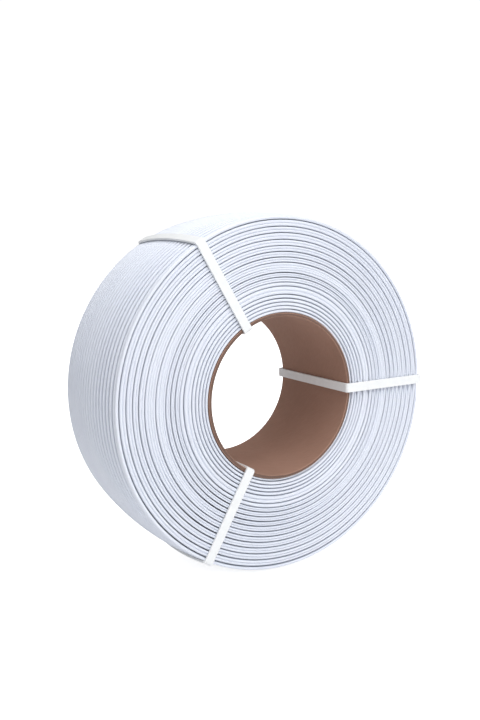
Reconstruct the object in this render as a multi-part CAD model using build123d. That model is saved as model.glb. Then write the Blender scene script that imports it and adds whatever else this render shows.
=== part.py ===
from build123d import *
import os
from math import sqrt

# A refill coil of printing filament. One strand is wound on a cardboard core in
# layers, and three nylon cable ties hold the winding together.
# The origin is the coil's centre, on its axis. The axis lies along Y, the front
# face looks towards -Y, and +Z is up. Sizes are in millimetres.

# ---- driving dimensions: winding ----
coil_radius = 92.8  # crests of the outermost turns, halfway across the coil
coil_width = 65.0
barrel_drop = 2.32  # how much lower the outermost turns sit at the two faces, on average
barrel_tilt = 0.38  # the rear edge is this much higher than that average, the front edge lower
outer_turns = 40  # the outermost turns crowd a little closer than those beneath
layer_count = 20
outer_layer_inner_radius = 88.3
two_strand_thickness = 2.2  # a layer this thick shows two strands side by side
strand_bulge = 0.45  # how far a strand stands out of the groove beside it
layer_gap = 0.05  # keeps neighbouring layers separate

# ---- driving dimensions: core ----
core_inner_radius = 40.7
core_outer_radius = 42.4
core_length = 63.0
core_front_recess = 0.0  # the core's front rim is level with the winding
core_rim_round = 0.4

# ---- driving dimensions: cable ties ----
tie_count = 3
first_tie_angle = 1.2  # degrees from +X towards +Z
strap_width = 4.8
strap_thickness = 1.2
running_gap = 0.05  # between a strap and the coil
rim_bend_radius = 0.5  # inside of the strap's bend over the core's rim
edge_bend_radius = 0.8  # inside of the strap's bend over the winding's edge
strap_edge_round = 0.25

head_radius = 66.0  # distance of the head's middle from the coil's axis
head_length = 6.8
head_width = 8.0
head_height = 5.2
head_round = 0.6
slot_gap = 0.15  # around the strap where it runs through the head
tail_bend_radius = 0.8  # inside of the bend where the tail turns up into the head
tail_stub = 0.5  # what is left of the tail above the head
floor_height = 1.45  # the head's floor, where the strap's root joins it
strap_offset = -0.2  # toothed face of the tail from the head's middle
pocket_offset = 2.3  # far wall of the pawl's pocket from the head's middle

tooth_pitch = 1.0
tooth_depth = 0.5
tooth_ramp = 0.9
tooth_band_width = 3.6  # the teeth leave a plain rail along each edge of the strap
teeth_before_bend = 18
teeth_in_head = 4

pawl_offset = 1.0  # living hinge from the head's middle
pawl_hinge_height = 1.95  # living hinge above the head's base
pawl_root_radius = 0.45
pawl_width = 3.4  # inside the strap's plain rails
pawl_side_gap = 0.15
pawl_bite = 0.28  # how far the pawl's teeth reach into the strap's
pawl_backlash = 0.3
pawl_tooth_heights = (3.5, 4.5)
pawl_tooth_ramp = 0.45
pawl_thickness = 0.9

# ---- worked out from the driving dimensions ----
tie_angles = [first_tie_angle + 360 / tie_count * i for i in range(tie_count)]
turn_pitch = coil_width / outer_turns
half_width = coil_width / 2
winding_inner_radius = core_outer_radius + layer_gap
layer_ratio = (outer_layer_inner_radius / winding_inner_radius) ** (1 / (layer_count - 1))
strap_plane = half_width + running_gap  # coil side of the straps at both faces
tooth_line = head_radius + strap_offset  # toothed face of the tail in the head
bend_middle = tooth_line - strap_thickness - tail_bend_radius
overrun = 1.0  # how far a cutting shape runs past what it cuts


def layer_inner_radius(number):
    """Each layer starts a constant ratio further out, so the inner layers are thinner."""
    return winding_inner_radius * layer_ratio ** (number - 1)


def barrel_radius(across):
    """Crest radius of the outermost turns at a distance from the coil's middle."""
    share = across / half_width
    return coil_radius + barrel_tilt * share - barrel_drop * share**2


def strand_arcs(points, crests):
    """One arc for each strand, from groove to groove over its crest."""
    return [
        ThreePointArc(start, crest, end)
        for start, crest, end in zip(points, crests, points[1:])
    ]


def face_arcs(inner, outer, side):
    """The strands that a layer shows at one face of the coil; side is -1 or 1."""
    strands = 2 if outer - inner >= two_strand_thickness else 1
    step = (outer - inner) / strands
    groove = side * (half_width - strand_bulge)
    points = [(inner + step * i, groove) for i in range(strands + 1)]
    crests = [(inner + step * (i + 0.5), side * half_width) for i in range(strands)]
    return strand_arcs(points, crests)


def turn_arcs():
    """The outermost layer's turns, side by side across the coil."""
    edge = half_width - strand_bulge
    grooves = [-edge]
    grooves += [turn_pitch * i - half_width for i in range(1, outer_turns)]
    grooves += [edge]
    points = [(barrel_radius(y) - strand_bulge, y) for y in grooves]
    middles = [turn_pitch * (i + 0.5) - half_width for i in range(outer_turns)]
    crests = [(barrel_radius(y), y) for y in middles]
    return strand_arcs(points, crests)


def winding_layer(number):
    """A ring as wide as the coil, with rounded strands where they can be seen."""
    inner = layer_inner_radius(number)
    groove = half_width - strand_bulge
    if number == layer_count:
        front = barrel_radius(-groove) - strand_bulge
        rear = barrel_radius(groove) - strand_bulge
        outside = turn_arcs()
    else:
        front = rear = layer_inner_radius(number + 1) - layer_gap
        outside = [Line((front, -groove), (rear, groove))]
    outline = [Line((inner, -groove), (inner, groove))]
    outline += face_arcs(inner, front, -1) + face_arcs(inner, rear, 1) + outside
    return revolve(make_face(outline), axis=Axis.Y)


def core_tube():
    """Cardboard tube with its cut rims slightly rounded."""
    front = core_front_recess - half_width
    tube = Cylinder(core_outer_radius, core_length) - Cylinder(core_inner_radius, core_length)
    tube = Rotation(90, 0, 0) * tube
    rims = tube.edges().filter_by(GeomType.CIRCLE)
    return Pos(0, front + core_length / 2, 0) * fillet(rims, core_rim_round)


# A tie is drawn in its own plane: X points away from the coil's axis, Y lies along
# that axis, and the drawing is extruded both ways along Z across the strap.


def across_strap(drawing, width):
    return extrude(drawing, amount=width / 2, both=True)


def loop_opening():
    """The hole of the strap's loop, which the coil's section fills."""
    bore_side = sqrt(core_inner_radius**2 - (strap_width / 2) ** 2) - running_gap
    front_edge = (barrel_radius(-half_width) + 2 * running_gap, -strap_plane)
    rear_edge = (barrel_radius(half_width) + 2 * running_gap, strap_plane)
    opening = make_face(
        [
            Line((bore_side, -strap_plane), front_edge),
            ThreePointArc(front_edge, (coil_radius + running_gap, 0), rear_edge),
            Line(rear_edge, (bore_side, strap_plane)),
            Line((bore_side, strap_plane), (bore_side, -strap_plane)),
        ]
    )
    corners = opening.vertices().sort_by(Axis.X)
    opening = fillet(corners[:2], rim_bend_radius)
    return fillet(opening.vertices().sort_by(Axis.X)[-2:], edge_bend_radius)


def ring_sector(middle_x, middle_y, inner, outer):
    """A quarter of a flat ring, from straight down round to straight right."""
    ring = Circle(outer) - Circle(inner)
    quarter = Pos(outer / 2, -outer / 2) * Rectangle(outer, outer)
    return Pos(middle_x, middle_y) * (ring & quarter)


def block(left, right, bottom, top):
    """A rectangle from its four sides."""
    return Pos((left + right) / 2, (bottom + top) / 2) * Rectangle(right - left, top - bottom)


def strap():
    """The loop, open at the head, with its tail bent up through the head."""
    opening = loop_opening()
    band = offset(opening, strap_thickness) - opening
    head_side = head_radius + head_length / 2 - overrun  # the strap's root reaches into the head
    above = strap_plane + strap_thickness + overrun
    under_head = block(bend_middle, head_side, strap_plane - overrun, above)
    bend_outer = tail_bend_radius + strap_thickness
    bend_height = strap_plane + bend_outer
    tail_top = strap_plane + head_height + tail_stub
    band -= under_head
    band += ring_sector(bend_middle, bend_height, tail_bend_radius, bend_outer)
    band += block(tooth_line - strap_thickness, tooth_line, bend_height, tail_top)
    return across_strap(band, strap_width)


def round_long_edges(solid):
    """Take the sharpness off the strap's long edges."""
    flat_sides = solid.faces().filter_by(Axis.Z)
    rims = flat_sides.sort_by(Axis.Z)[-1].edges() + flat_sides.sort_by(Axis.Z)[0].edges()
    return fillet(rims, strap_edge_round)


def strap_teeth():
    """The saw-tooth notches cut into the strap's coil side, near the head."""
    notches = []
    for i in range(teeth_before_bend):
        x = bend_middle - i * tooth_pitch
        bottom = (x, strap_plane + tooth_depth)
        notches.append([(x, strap_plane), bottom, (x - tooth_ramp, strap_plane)])
    first = strap_plane + pawl_tooth_heights[0] + pawl_backlash
    for i in range(teeth_in_head):
        y = first + (i - 1) * tooth_pitch
        bottom = (tooth_line - tooth_depth, y)
        notches.append([(tooth_line, y), bottom, (tooth_line, y - tooth_ramp)])
    drawing = Sketch() + [make_face(Polyline(*corners, close=True)) for corners in notches]
    return across_strap(drawing, tooth_band_width)


def head_cavity():
    """The way through the head for the tail, with the pawl's pocket beside it."""
    entry_left = head_radius - head_length / 2 - overrun
    entry_top = strap_plane + strap_thickness + slot_gap
    slot_left = tooth_line - strap_thickness - slot_gap
    floor_left = tooth_line + slot_gap
    below = strap_plane - overrun
    above = strap_plane + head_height + overrun
    guide = tail_bend_radius - slot_gap
    entry = block(entry_left, slot_left, below, entry_top)
    slot = block(slot_left, floor_left, below, above)
    pocket = block(floor_left, head_radius + pocket_offset, strap_plane + floor_height, above)
    corner = block(slot_left - guide, slot_left, entry_top, entry_top + guide)
    corner -= Pos(slot_left - guide, entry_top + guide) * Circle(guide)
    way_through = across_strap(entry + slot + corner, strap_width + 2 * slot_gap)
    return way_through + across_strap(pocket, pawl_width + 2 * pawl_side_gap)


def head():
    """The ratchet head, a rounded block on the coil's rear face."""
    body = Box(head_length, head_height, head_width)
    body = fillet(body.edges().filter_by(Axis.Y), head_round)
    body = fillet(body.edges().group_by(Axis.Y)[-1], strap_edge_round)
    return Pos(head_radius, strap_plane + head_height / 2, 0) * body - head_cavity()


def cable_tie():
    """One moulding: head, strap and tail."""
    return round_long_edges(strap()) - strap_teeth() + head()


def pawl():
    """The head's locking tongue, which swings about its root to let the strap pass."""
    hinge = (head_radius + pawl_offset, strap_plane + pawl_hinge_height)
    front = tooth_line + slot_gap
    bite = tooth_line - pawl_bite
    low, high = (strap_plane + height for height in pawl_tooth_heights)
    outline = [
        (hinge[0] - pawl_root_radius, hinge[1]),
        (front, low - pawl_tooth_ramp),
        (bite, low),
        (front, low),
        (front, high - pawl_tooth_ramp),
        (bite, high),
        (front + pawl_thickness, high),
        (hinge[0] + pawl_root_radius, hinge[1]),
    ]
    drawing = make_face(Polyline(*outline, close=True)) + Pos(*hinge) * Circle(pawl_root_radius)
    return across_strap(drawing, pawl_width)


def around_coil(solid, angle):
    """Place a solid drawn in a tie's plane at its angle round the coil."""
    return Rotation(0, -angle, 0) * solid


def build():
    nodes = {"core_tube": core_tube()}
    for number in range(1, layer_count + 1):
        nodes[f"winding_layer_{number:02d}"] = winding_layer(number)
    tie = cable_tie()
    tongue = pawl()
    for number, angle in enumerate(tie_angles, start=1):
        nodes[f"cable_tie_{number}"] = around_coil(tie, angle)
        nodes[f"cable_tie_{number}_pawl"] = around_coil(tongue, angle)
    return nodes


os.makedirs("parts", exist_ok=True)
for name, shape in build().items():
    export_step(shape, f"parts/{name}.step")
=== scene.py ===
import math

import bpy
import numpy as np
from mathutils import Matrix, Vector


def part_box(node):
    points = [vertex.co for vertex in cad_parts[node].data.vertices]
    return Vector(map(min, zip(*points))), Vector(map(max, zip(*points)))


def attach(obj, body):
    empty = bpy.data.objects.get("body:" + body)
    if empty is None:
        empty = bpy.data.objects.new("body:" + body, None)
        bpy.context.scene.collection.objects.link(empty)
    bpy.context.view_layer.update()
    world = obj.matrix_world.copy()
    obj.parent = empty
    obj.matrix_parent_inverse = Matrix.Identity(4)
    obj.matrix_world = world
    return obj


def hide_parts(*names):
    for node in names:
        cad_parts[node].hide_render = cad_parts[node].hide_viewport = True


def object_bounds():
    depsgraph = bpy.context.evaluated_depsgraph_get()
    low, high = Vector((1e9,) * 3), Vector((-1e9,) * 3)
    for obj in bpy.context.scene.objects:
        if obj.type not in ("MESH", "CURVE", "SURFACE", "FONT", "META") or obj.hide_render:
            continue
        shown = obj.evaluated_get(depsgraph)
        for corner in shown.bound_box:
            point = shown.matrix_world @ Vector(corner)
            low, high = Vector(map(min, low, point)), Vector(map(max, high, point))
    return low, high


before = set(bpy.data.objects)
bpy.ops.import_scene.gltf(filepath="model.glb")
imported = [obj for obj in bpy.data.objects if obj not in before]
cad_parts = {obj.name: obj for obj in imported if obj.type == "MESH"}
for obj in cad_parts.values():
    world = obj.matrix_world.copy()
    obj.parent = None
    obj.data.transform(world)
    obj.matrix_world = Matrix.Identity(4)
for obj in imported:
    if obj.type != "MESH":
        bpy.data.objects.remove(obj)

# A refill coil of printing filament. One strand is wound on a cardboard core,
# and three nylon cable ties hold it. Lengths are in metres; the coil's axis
# lies along Y and its front face looks towards -Y.

cad_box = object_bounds()
rng = np.random.default_rng(1750)

MM = 0.001
TAU = 2 * math.pi

# ---- sizes that come from the CAD model ----
LAYER_COUNT = 20


def layer_node(number):
    return f"winding_layer_{number:02d}"


def radii_of(node):
    """(inner, outer) radius of a ring-shaped CAD node, from its vertices."""
    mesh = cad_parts[node].data
    co = np.zeros(len(mesh.vertices) * 3, np.float32)
    mesh.vertices.foreach_get("co", co)
    co = co.reshape(-1, 3)
    distance = np.hypot(co[:, 0], co[:, 2])
    return float(distance.min()), float(distance.max())


front_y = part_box(layer_node(1))[0].y
rear_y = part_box(layer_node(1))[1].y
half_width = (rear_y - front_y) / 2
outer_radius = radii_of(layer_node(LAYER_COUNT))[1]
layer_starts = [radii_of(layer_node(n))[0] for n in range(1, LAYER_COUNT + 1)]

# ---- the strand ----
STRAND_RADIUS = 0.875 * MM
TURNS = 36
OUTER_TURNS = 40  # the outermost turns crowd together, so every second one sits lower
BARREL_DROP = 2.32 * MM  # how much lower the outermost turns sit at the two faces, on average
BARREL_TILT = 0.38 * MM  # the rear edge is this much higher than that average, the front edge lower
CREST_RISE = BARREL_TILT**2 / (4 * BARREL_DROP)  # from halfway across the coil to its widest point
TWO_STRAND_BAND = 2.2 * MM  # a band this thick shows two strands side by side
SINGLE_GAP = 0.34 * MM  # dark groove between neighbouring bands of one strand
PAIR_GAP = 0.53 * MM  # and between bands of two strands
OUTER_GAP = 0.55 * MM  # and under the outermost turns
PAIR_CROWDING = 1.10  # strands of one band sit close, so their groove is shallow
BOUNDARY_DRIFT = 0.07 * MM  # how far the grooves stray from true circles
GROOVE_SWELL = 0.12  # how much a groove's width varies round the coil, as a share of it
GROOVE_NARROWEST = 0.6  # the limits of that
GROOVE_WIDEST = 1.3
GROOVE_LEAN = 0.20  # grooves are this share wider than usual on one side, narrower opposite
GROOVE_LEAN_ANGLE = math.radians(300)
TUCK_DRIFT = 0.05 * MM  # how far the turns at a face stray behind it
FIRST_TUCK = 0.8 * MM  # how far behind it those on the core lie, where they lie deepest
FIRST_TUCK_ANGLE = math.radians(315)
CLIMB_TURN = 0.010  # share of a turn over which the strand climbs to the next pass
FACE_STEP = 0.020  # share of a turn over which an end turn steps sideways
INNER_STEP = 0.11  # the same for the turns inside the coil
LOW_TURN = 0.80 * MM  # how much lower every second outermost turn sits
TIE_ANGLE = math.radians(1.2)  # the strand changes pass under the first tie

# Grooves that fade on one side of the coil, by the number of bands inside them: the angle
# at which a groove is faintest, how far round it fades to either side, and its width there
# as a share of the usual one. Below 0 the strands beside it press into each other.
FADED_GROOVES = {
    6: (math.radians(60), math.radians(300), -0.5),
    11: (math.radians(20), math.radians(120), -0.6),
    12: (math.radians(175), math.radians(80), -0.6),
    14: (math.radians(165), math.radians(70), -0.1),
}
FADE_STEEPNESS = 1.5  # above 1, a groove stays faint for longer and fades in sooner

# A strand's end: a smaller ring beyond the last full one, and a point set back inside that
# ring. The reaches are shares of the strand's half size.
END_RING_SCALE = 0.7
END_RING_REACH = 0.79
END_POINT_REACH = 0.46

# ---- mesh fineness ----
STRAND_SIDES = 10
END_TURNS = 2  # turns at each face that are made finely
END_STEPS = 144  # segments in such a turn
HIDDEN_STEPS = 36  # in a turn between those
OUTER_STEPS = 144  # in a turn of the outermost layer


def new_object(name, vertices, faces, smooth=True):
    """A mesh object from a list of vertices and a list of faces."""
    mesh = bpy.data.meshes.new(name)
    mesh.from_pydata(vertices, [], faces)
    mesh.polygons.foreach_set("use_smooth", [smooth] * len(mesh.polygons))
    mesh.update()
    piece = bpy.data.objects.new(name, mesh)
    bpy.context.scene.collection.objects.link(piece)
    return piece


def ease(t):
    """Smooth step from 0 to 1."""
    t = np.clip(t, 0, 1)
    return t * t * (3 - 2 * t)


def wander(strength, cycles=(1, 2, 3, 5)):
    """A smooth, periodic, random function of the angle round the coil."""
    phases = rng.uniform(0, TAU, len(cycles))
    sizes = rng.normal(0, strength, len(cycles)) / np.sqrt(np.arange(1, len(cycles) + 1))

    def value(angle):
        waves = [size * np.sin(n * angle + phase) for n, size, phase in zip(cycles, sizes, phases)]
        return np.sum(waves, axis=0)

    return value


class Groove:
    """The groove outside a number of bands: its radius and width change a little round the coil."""

    def __init__(self, bands, radius, gap):
        self.radius = radius
        self.gap = gap
        self.drift = wander(BOUNDARY_DRIFT)
        self.swell = wander(GROOVE_SWELL, (1, 2, 4, 7))
        self.faded = FADED_GROOVES.get(bands)

    def middle(self, angle):
        return self.radius + self.drift(angle)

    def width(self, angle):
        share = np.clip(1 + self.swell(angle), GROOVE_NARROWEST, GROOVE_WIDEST)
        share = share * (1 + GROOVE_LEAN * np.cos(angle - GROOVE_LEAN_ANGLE))
        if self.faded:
            place, reach, least = self.faded
            away = np.abs((angle - place + math.pi) % TAU - math.pi)
            share = share - (share - least) * ease(FADE_STEEPNESS * (1 - away / reach))
        return self.gap * share


def barrel_radius(across):
    """Radius of the coil's outside at a distance from the coil's middle."""
    share = across / half_width
    return outer_radius - CREST_RISE + BARREL_TILT * share - BARREL_DROP * share**2


def plan_grooves():
    """The groove inside each band, and the coil's outer edge as the last one."""
    grooves = []
    for bands, radius in enumerate(layer_starts):
        thick = bands > 0 and radius - layer_starts[bands - 1] >= TWO_STRAND_BAND
        grooves.append(Groove(bands, radius, PAIR_GAP if thick else SINGLE_GAP))
    grooves[-1].gap = OUTER_GAP
    grooves.append(Groove(LAYER_COUNT, barrel_radius(-half_width), 0))
    return grooves


def turn_samples(count, steps):
    """Positions along one pass, in turns, with the given steps to a turn between its ends."""
    first = np.arange(0, END_TURNS, 1 / END_STEPS)
    middle = np.arange(END_TURNS, count - END_TURNS, 1 / steps)
    last = np.arange(count - END_TURNS, count, 1 / END_STEPS)
    # extra samples at the end of each turn, where the strand steps sideways
    whole = np.arange(1, count + 1)
    bends = [whole - FACE_STEP * share for share in (1, 0.75, 0.5, 0.25)]
    return np.unique(np.round(np.concatenate([first, middle, last, *bends, [count]]), 6))


def turns_across(turns, count):
    """How far across the coil the strand has moved, in turns, wound flat and stepping sideways
    at the end of each turn."""
    whole = np.minimum(np.floor(turns), count - 1)
    part = turns - whole
    from_face = (whole < 1) | (whole >= count - 2)
    step = np.where(from_face, FACE_STEP, INNER_STEP)
    moved = ease((part - (1 - step)) / step)
    last_turn = whole >= count - 1
    return whole + np.where(last_turn, 0, moved)


def tube(angle, radius, across, wide):
    """The swept strand as a list of vertices and a list of faces, closed at both ends.

    Its middle lies at angle, radius and across. Its half size is wide along the coil's
    radius, and STRAND_RADIUS along the coil's axis."""
    sides = np.arange(STRAND_SIDES)
    turned = (sides + 0.5) * TAU / STRAND_SIDES

    def ring(angle, radius, across, wide, scale=1.0):
        """The vertices of the strand's section at a place, or at each of many."""
        out = radius + wide * scale * np.cos(turned)
        x = out * np.cos(angle)
        y = across + STRAND_RADIUS * scale * np.sin(turned)
        z = out * np.sin(angle)
        return np.stack([x, y, z], axis=-1).reshape(-1, 3)

    def closing(end, onward):
        """The smaller ring and the point that close one end."""
        section = (radius[end], across[end], wide[end])
        half_turn = onward * wide[end] / radius[end]
        small_ring = ring(angle[end] + half_turn * END_RING_REACH, *section, END_RING_SCALE)
        point = ring(angle[end] + half_turn * END_POINT_REACH, *section, 0)[:1]
        return small_ring, point

    body = ring(*(values[:, None] for values in (angle, radius, across, wide)))
    first_ring, first_point = closing(0, -1)
    last_ring, last_point = closing(-1, 1)
    vertices = np.concatenate([first_ring, body, last_ring, first_point, last_point])

    following = (sides + 1) % STRAND_SIDES
    row = np.arange(len(angle) + 1)[:, None] * STRAND_SIDES
    next_row = row + STRAND_SIDES
    corners = [row + sides, row + following, next_row + following, next_row + sides]
    faces = np.stack(corners, axis=2).reshape(-1, 4).tolist()
    first_tip, last_tip = len(vertices) - 2, len(vertices) - 1
    last_row = len(vertices) - 2 - STRAND_SIDES
    faces += [(first_tip, k, j) for j, k in zip(sides, following)]
    faces += [(last_tip, last_row + j, last_row + k) for j, k in zip(sides, following)]
    return vertices.tolist(), faces


class Pass:
    """One pass of the strand across the coil, the first or second strand of its band."""

    def __init__(self, grooves, layer, strand, strands):
        self.inside = grooves[layer - 1]
        self.outside = grooves[layer]
        self.layer = layer
        self.strand = strand
        self.strands = strands
        self.tuck = wander(TUCK_DRIFT, (1, 2, 3))

    def section(self, angle):
        """Radius of the strand's middle and its half size along the radius."""
        inner = self.inside.middle(angle) + self.inside.width(angle) / 2
        outer = self.outside.middle(angle) - self.outside.width(angle) / 2
        share = (outer - inner) / (2 * self.strands)
        wide = share * (PAIR_CROWDING if self.strands == 2 else 1)
        return inner + share * (2 * self.strand + 1), wide

    def depth(self, angle):
        """How far the end turns lie behind the coil's faces."""
        deep = np.abs(self.tuck(angle))
        if self.layer == 1:
            deep = deep + FIRST_TUCK * (1 + np.cos(angle - FIRST_TUCK_ANGLE)) / 2
        return deep


def plan_passes():
    """The passes of the strand, from the core out."""
    grooves = plan_grooves()
    passes = []
    for number in range(1, LAYER_COUNT + 1):
        thickness = grooves[number].radius - grooves[number - 1].radius
        strands = 2 if thickness >= TWO_STRAND_BAND and number < LAYER_COUNT else 1
        for strand in range(strands):
            passes.append(Pass(grooves, number, strand, strands))
    return passes


def wind_pass(passes, index):
    """Vertices and faces of one pass, which starts and ends where its neighbours meet it."""
    here = passes[index]
    outermost = here.layer == LAYER_COUNT
    count = OUTER_TURNS if outermost else TURNS
    turns = turn_samples(count, OUTER_STEPS if outermost else HIDDEN_STEPS)
    moved = turns_across(turns, count)
    direction = 1 if index % 2 == 0 else -1
    angle = TAU * turns + TIE_ANGLE
    place = moved * 2 / (count - 1) - 1  # from -1 to 1, the end turns against the coil's faces
    across = direction * place * (half_width - STRAND_RADIUS - here.depth(angle))
    radius, wide = here.section(angle)
    if outermost:
        # the turns at the faces fill the room beside the outermost groove
        inward = ease((1 - np.abs(place)) * (count - 1) / 2)
        bottom = radius - wide
        crest = barrel_radius(across)
        wide = (1 - inward) * (crest - bottom) / 2 + inward * STRAND_RADIUS
        low = ease(np.abs((moved % 2) - 1)) * inward
        radius = crest - wide - LOW_TURN * low
    # both ends lie halfway to the next pass's radius
    before = passes[index - 1].section(angle)[0] if index else radius
    after = passes[index + 1].section(angle)[0] if index + 1 < len(passes) else radius
    radius = radius + (before - radius) / 2 * (1 - ease(turns / CLIMB_TURN))
    radius = radius + (after - radius) / 2 * ease((turns - count + CLIMB_TURN) / CLIMB_TURN)
    return tube(angle, radius, across, wide)


def wind_layer(passes, number):
    """One piece: the passes that make up a layer."""
    vertices, faces = [], []
    for index, one in enumerate(passes):
        if one.layer == number:
            more_vertices, more_faces = wind_pass(passes, index)
            faces += [[corner + len(vertices) for corner in face] for face in more_faces]
            vertices += more_vertices
    piece = new_object(f"strand_layer_{number:02d}", vertices, faces)
    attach(piece, "coil")
    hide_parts(layer_node(number))
    return piece


# ---- materials ----


class Nodes:
    """Short calls for building a material's node tree."""

    def __init__(self, name):
        self.material = bpy.data.materials.new(name)
        self.material.use_nodes = True
        self.tree = self.material.node_tree
        self.shader = self.tree.nodes["Principled BSDF"]

    def add(self, kind, **values):
        node = self.tree.nodes.new("ShaderNode" + kind)
        for key, value in values.items():
            if key in node.inputs:
                node.inputs[key].default_value = value
            else:
                setattr(node, key, value)
        return node

    def link(self, source, target):
        self.tree.links.new(source, target)

    def math(self, operation, a, b=None):
        node = self.add("Math", operation=operation)
        for value, socket in zip((a, b), node.inputs):
            if value is None:
                continue
            if isinstance(value, (int, float)):
                socket.default_value = value
            else:
                self.link(value, socket)
        return node.outputs[0]

    def noise(self, vector, scale, detail=2.0, roughness=0.5):
        node = self.add("TexNoise", Scale=scale, Detail=detail, Roughness=roughness)
        self.link(vector, node.inputs["Vector"])
        return node.outputs["Fac"]

    def ramp(self, factor, *stops):
        node = self.add("ValToRGB")
        elements = node.color_ramp.elements
        while len(elements) < len(stops):
            elements.new(0.5)
        for element, (position, colour) in zip(elements, stops):
            element.position = position
            element.color = (*colour, 1)
        self.link(factor, node.inputs["Fac"])
        return node.outputs["Color"]

    def coil_coordinates(self):
        """(angle round the coil in radians, radius, position across) from object space."""
        split = self.add("SeparateXYZ")
        self.link(self.add("TexCoord").outputs["Object"], split.inputs[0])
        x, y, z = split.outputs
        squares = self.math("ADD", self.math("MULTIPLY", x, x), self.math("MULTIPLY", z, z))
        return self.math("ARCTAN2", z, x), self.math("SQRT", squares), y

    def stretched(self, *parts):
        """Coordinates for a noise: three values, each times its own factor."""
        node = self.add("CombineXYZ")
        for (value, factor), socket in zip(parts, node.inputs):
            self.link(self.math("MULTIPLY", value, factor), socket)
        return node.outputs[0]

    def spread(self, value, low, high, start=0.0, end=1.0):
        """The value's range from start to end, spread from low to high."""
        node = self.add("MapRange")
        limits = {"From Min": start, "From Max": end, "To Min": low, "To Max": high}
        for name, limit in limits.items():
            node.inputs[name].default_value = limit
        self.link(value, node.inputs["Value"])
        return node.outputs["Result"]

    def multiplied(self, colour, tint, factor):
        """The colour times the tint where the factor is 1, and untouched where it is 0."""
        node = self.add("Mix", data_type="RGBA", blend_type="MULTIPLY")
        first, second = (socket for socket in node.inputs if socket.type == "RGBA")
        self.link(factor, node.inputs["Factor"])
        self.link(colour, first)
        self.link(tint, second)
        return next(socket for socket in node.outputs if socket.type == "RGBA")

    def bump(self, height, strength, distance):
        node = self.add("Bump", Strength=strength, Distance=distance)
        self.link(height, node.inputs["Height"])
        self.link(node.outputs[0], self.shader.inputs["Normal"])


FILAMENT_SHADE = (0.69, 0.725, 0.81)
FILAMENT_LIGHT = (0.72, 0.754, 0.832)


def filament_material():
    """Cool white plastic strand, faintly streaked along its length."""
    n = Nodes("filament_white")
    angle, radius, across = n.coil_coordinates()
    streaks = n.noise(n.stretched((radius, 1300.0), (across, 1300.0), (angle, 6.0)), 1.0, 3.0, 0.6)
    clouds = n.noise(n.stretched((radius, 300.0), (across, 80.0), (angle, 0.8)), 1.0, 2.0, 0.5)
    tint = n.ramp(clouds, (0.3, FILAMENT_SHADE), (0.7, FILAMENT_LIGHT))
    n.link(tint, n.shader.inputs["Base Color"])
    n.link(n.spread(streaks, 0.34, 0.5), n.shader.inputs["Roughness"])
    n.bump(streaks, 0.03, 0.05 * MM)
    return n.material


BOARD_DARK = (0.300, 0.168, 0.121)
BOARD_MIDDLE = (0.335, 0.192, 0.140)
BOARD_LIGHT = (0.372, 0.217, 0.161)
# The cut ends are darker by these shares, with a fine line between plies
PLY_LINE_TINT = (0.40, 0.41, 0.42)
PLY_TINT = (0.52, 0.54, 0.56)
PLY_THICKNESS = 0.4 * MM
BOARD_LEAD = 0.041  # how far the fibres climb along the core in a radian
CUT_END_NORMAL = 0.9  # a face that looks this much along the coil's axis is a cut end


def cardboard_material():
    """Brown kraft board: fibres along its spiral, cloudy tone, darker cut ends."""
    n = Nodes("core_cardboard")
    angle, radius, across = n.coil_coordinates()
    spiral = n.math("ADD", n.math("MULTIPLY", angle, BOARD_LEAD), across)
    fibres = n.noise(n.stretched((radius, 900.0), (spiral, 1500.0), (angle, 14.0)), 1.0, 5.0, 0.65)
    clouds = n.noise(n.stretched((across, 40.0), (angle, 2.0), (radius, 100.0)), 1.0, 3.0, 0.5)
    tone = n.math("ADD", n.math("MULTIPLY", fibres, 0.6), n.math("MULTIPLY", clouds, 0.4))
    colour = n.ramp(tone, (0.3, BOARD_DARK), (0.5, BOARD_MIDDLE), (0.7, BOARD_LIGHT))
    facing = n.add("SeparateXYZ")
    n.link(n.add("NewGeometry").outputs["Normal"], facing.inputs[0])
    cut_end = n.math("GREATER_THAN", n.math("ABSOLUTE", facing.outputs["Y"]), CUT_END_NORMAL)
    plies = n.math("SINE", n.math("MULTIPLY", radius, TAU / PLY_THICKNESS))
    ply_tint = n.ramp(plies, (0.0, PLY_LINE_TINT), (0.6, PLY_TINT))
    n.link(n.multiplied(colour, ply_tint, cut_end), n.shader.inputs["Base Color"])
    n.shader.inputs["Roughness"].default_value = 0.85
    n.bump(fibres, 0.35, 0.1 * MM)
    return n.material


NYLON_SHADE = (0.785, 0.80, 0.81)
NYLON_LIGHT = (0.825, 0.84, 0.85)


def nylon_material():
    """Natural white nylon: slightly waxy, with faint flow marks."""
    n = Nodes("tie_nylon")
    flow = n.noise(n.add("TexCoord").outputs["Object"], 400.0, 3.0, 0.5)
    colour = n.ramp(flow, (0.3, NYLON_SHADE), (0.7, NYLON_LIGHT))
    n.link(colour, n.shader.inputs["Base Color"])
    n.link(n.spread(flow, 0.32, 0.45), n.shader.inputs["Roughness"])
    n.shader.inputs["Specular IOR Level"].default_value = 0.3
    n.bump(flow, 0.1, 0.05 * MM)
    return n.material


def coat(piece, material):
    """Give a new piece its material."""
    piece.data.materials.clear()
    piece.data.materials.append(material)


def coat_nodes(prefix, material):
    """Give a material to the CAD nodes whose names start with the prefix."""
    for node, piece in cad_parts.items():
        if node.startswith(prefix):
            for slot in piece.material_slots:
                slot.material = material


# ---- build ----
filament = filament_material()
passes = plan_passes()
for number in range(1, LAYER_COUNT + 1):
    coat(wind_layer(passes, number), filament)
coat_nodes("core_tube", cardboard_material())
coat_nodes("cable_tie", nylon_material())

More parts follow.
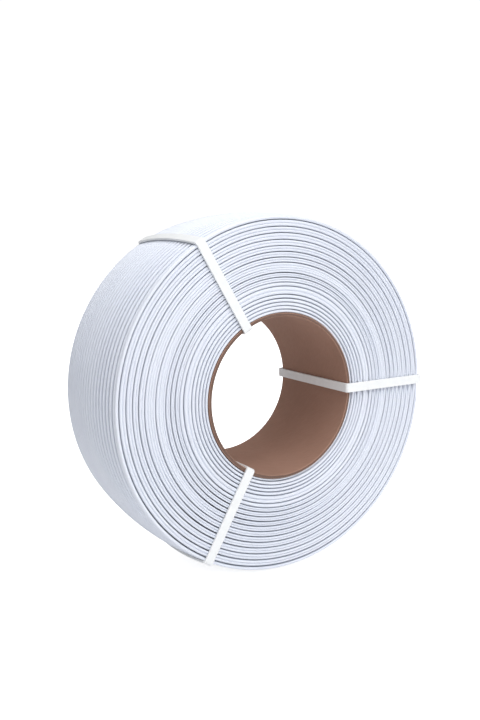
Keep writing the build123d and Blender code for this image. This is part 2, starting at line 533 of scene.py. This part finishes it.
# ---- stage ----
CAMERA_AZIMUTH = math.radians(-30.13)
CAMERA_ELEVATION = math.radians(7.92)
CAMERA_DISTANCE = 446.9 * MM
CAMERA_RIGHT = -5.7 * MM
CAMERA_UP = 14.59 * MM
CAMERA_PIVOT = 32 * MM  # the distances are from a point this far behind the front face
CAMERA_LENS = 41.5
SENSOR_WIDTH = 36  # millimetres, like the lens


def make_camera():
    a, e = CAMERA_AZIMUTH, CAMERA_ELEVATION
    back = Vector((math.sin(a) * math.cos(e), -math.cos(a) * math.cos(e), math.sin(e)))
    right = Vector((math.cos(a), math.sin(a), 0))
    up = back.cross(right)
    camera = bpy.data.objects.new("camera", bpy.data.cameras.new("camera"))
    bpy.context.scene.collection.objects.link(camera)
    turn = Matrix((right, up, back)).transposed()
    place = Vector((0, front_y + CAMERA_PIVOT, 0)) + back * CAMERA_DISTANCE
    place += right * CAMERA_RIGHT + up * CAMERA_UP
    camera.matrix_world = Matrix.Translation(place) @ turn.to_4x4()
    camera.data.lens = CAMERA_LENS
    camera.data.sensor_width = SENSOR_WIDTH
    camera.data.clip_start = 0.01
    camera.data.clip_end = 20
    bpy.context.scene.camera = camera


FLOOR_REACH = 6.0  # from the coil to the floor's edges
FLOOR_GAP = 0.2 * MM  # keeps the floor just clear of the coil
FLOOR_WHITE = 0.80  # what the floor adds for the camera near the coil, as a lit paper sweep
FLOOR_FAR_WHITE = 1.05  # and far from it, so that it runs into the backdrop without an edge
SWEEP_START = 0.16  # from the coil's centre
SWEEP_END = 0.45
PAPER_SHADE = (0.93, 0.93, 0.935)
PAPER_LIGHT = (0.95, 0.95, 0.955)


def make_floor():
    height = cad_box[0].z - FLOOR_GAP
    edge = ((-1, -1), (1, -1), (1, 1), (-1, 1))
    corners = [(x * FLOOR_REACH, y * FLOOR_REACH, height) for x, y in edge]
    floor = new_object("floor", corners, [(0, 1, 2, 3)], smooth=False)
    n = Nodes("floor_paper")
    place = n.add("TexCoord").outputs["Object"]
    grain = n.noise(place, 60.0, 2.0, 0.5)
    colour = n.ramp(grain, (0.3, PAPER_SHADE), (0.7, PAPER_LIGHT))
    n.link(colour, n.shader.inputs["Base Color"])
    n.shader.inputs["Roughness"].default_value = 0.9
    n.shader.inputs["Specular IOR Level"].default_value = 0.0
    # the glow is for the camera only and lights nothing
    distance = n.add("VectorMath", operation="LENGTH")
    n.link(place, distance.inputs[0])
    away = distance.outputs["Value"]
    whiteness = n.spread(away, FLOOR_WHITE, FLOOR_FAR_WHITE, SWEEP_START, SWEEP_END)
    seen = n.add("LightPath").outputs["Is Camera Ray"]
    n.shader.inputs["Emission Color"].default_value = (1, 1, 1, 1)
    n.link(n.math("MULTIPLY", whiteness, seen), n.shader.inputs["Emission Strength"])
    coat(floor, n.material)


# Soft round lamps aimed at the coil: place in metres, power in watts
LAMP_SIZE = 0.8
LAMPS = {
    "front": ((0, -1.0, 0.1), 1.9),
    "top": ((0, 0, 1.0), 3.9),
    "top_front": ((0, -0.6, 0.8), 5.7),
}
ROOM_GLOW = 0.45  # light from the white room on every side
ROOM_SEEN = 1.05  # the room as the camera sees it: plain white


def make_lamp(name, place, power):
    lamp = bpy.data.lights.new(name, "AREA")
    lamp.shape = "DISK"
    lamp.size = LAMP_SIZE
    lamp.energy = power
    light = bpy.data.objects.new(name, lamp)
    bpy.context.scene.collection.objects.link(light)
    light.location = place
    light.rotation_mode = "QUATERNION"
    light.rotation_quaternion = (-Vector(place)).to_track_quat("-Z", "Y")


def make_lights():
    for name, (place, power) in LAMPS.items():
        make_lamp(name, place, power)
    world = bpy.data.worlds.new("studio")
    bpy.context.scene.world = world
    world.use_nodes = True
    nodes, links = world.node_tree.nodes, world.node_tree.links
    seen = nodes.new("ShaderNodeLightPath")
    strength = nodes.new("ShaderNodeMapRange")
    strength.inputs["To Min"].default_value = ROOM_GLOW
    strength.inputs["To Max"].default_value = ROOM_SEEN
    links.new(seen.outputs["Is Camera Ray"], strength.inputs["Value"])
    background = nodes["Background"]
    background.inputs["Color"].default_value = (1.0, 1.0, 1.0, 1)
    links.new(strength.outputs["Result"], background.inputs["Strength"])


make_camera()
make_floor()
make_lights()
bpy.context.scene.view_settings.view_transform = "Standard"
